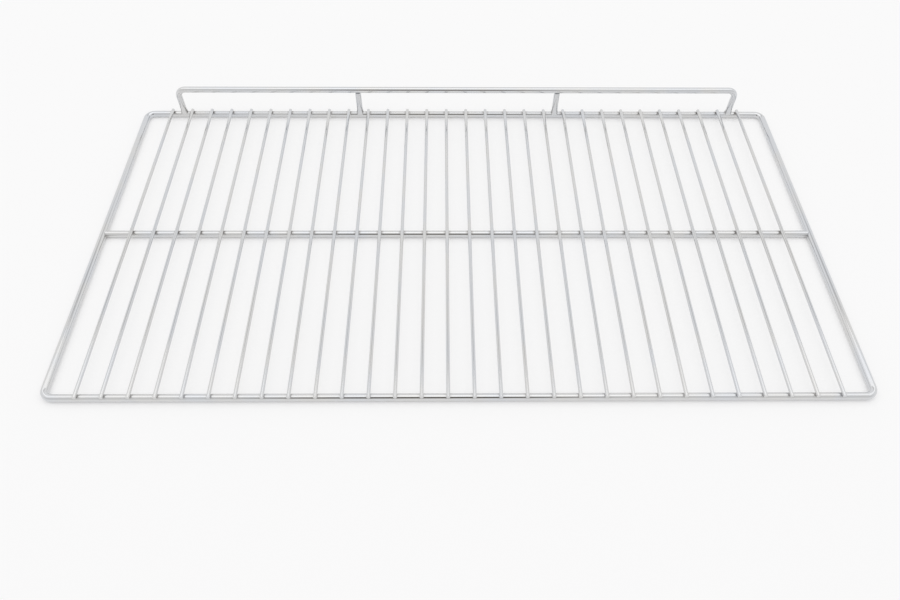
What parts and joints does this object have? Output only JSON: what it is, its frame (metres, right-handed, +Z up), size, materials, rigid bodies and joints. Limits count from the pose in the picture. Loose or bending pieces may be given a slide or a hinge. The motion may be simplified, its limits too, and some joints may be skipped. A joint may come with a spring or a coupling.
{
  "type": "refrigerator shelf",
  "caption": "Flat welded wire shelf for a refrigerator: a bent rod frame with a cross bar, a deck of close straight wires and a raised stop rail along the rear.",
  "frame": {"origin": "under the middle of the frame, level with the undersides of its rods", "axes": "+X to the right along the front, +Y to the rear where the rail stands, +Z up"},
  "size_m": [0.686, 0.3634, 0.0385],
  "materials": {
    "plated_rod": "bright plated steel rod",
    "plated_wire": "bright plated steel wire, slightly duller than the rods"
  },
  "bodies": {
    "root": {"perimeter_frame": "plated_rod", "cross_bar": "plated_rod", "rear_rail": "plated_rod", "rail_post_left": "plated_rod", "rail_post_right": "plated_rod", "deck_wire_01": "plated_wire", "deck_wire_02": "plated_wire", "deck_wire_03": "plated_wire", "deck_wire_04": "plated_wire", "deck_wire_05": "plated_wire", "deck_wire_06": "plated_wire", "deck_wire_07": "plated_wire", "deck_wire_08": "plated_wire", "deck_wire_09": "plated_wire", "deck_wire_10": "plated_wire", "deck_wire_11": "plated_wire", "deck_wire_12": "plated_wire", "deck_wire_13": "plated_wire", "deck_wire_14": "plated_wire", "deck_wire_15": "plated_wire", "deck_wire_16": "plated_wire", "deck_wire_17": "plated_wire", "deck_wire_18": "plated_wire", "deck_wire_19": "plated_wire", "deck_wire_20": "plated_wire", "deck_wire_21": "plated_wire", "deck_wire_22": "plated_wire", "deck_wire_23": "plated_wire", "deck_wire_24": "plated_wire", "deck_wire_25": "plated_wire", "deck_wire_26": "plated_wire", "deck_wire_27": "plated_wire", "deck_wire_28": "plated_wire", "deck_wire_29": "plated_wire", "deck_wire_30": "plated_wire"}
  },
  "joints": []
}
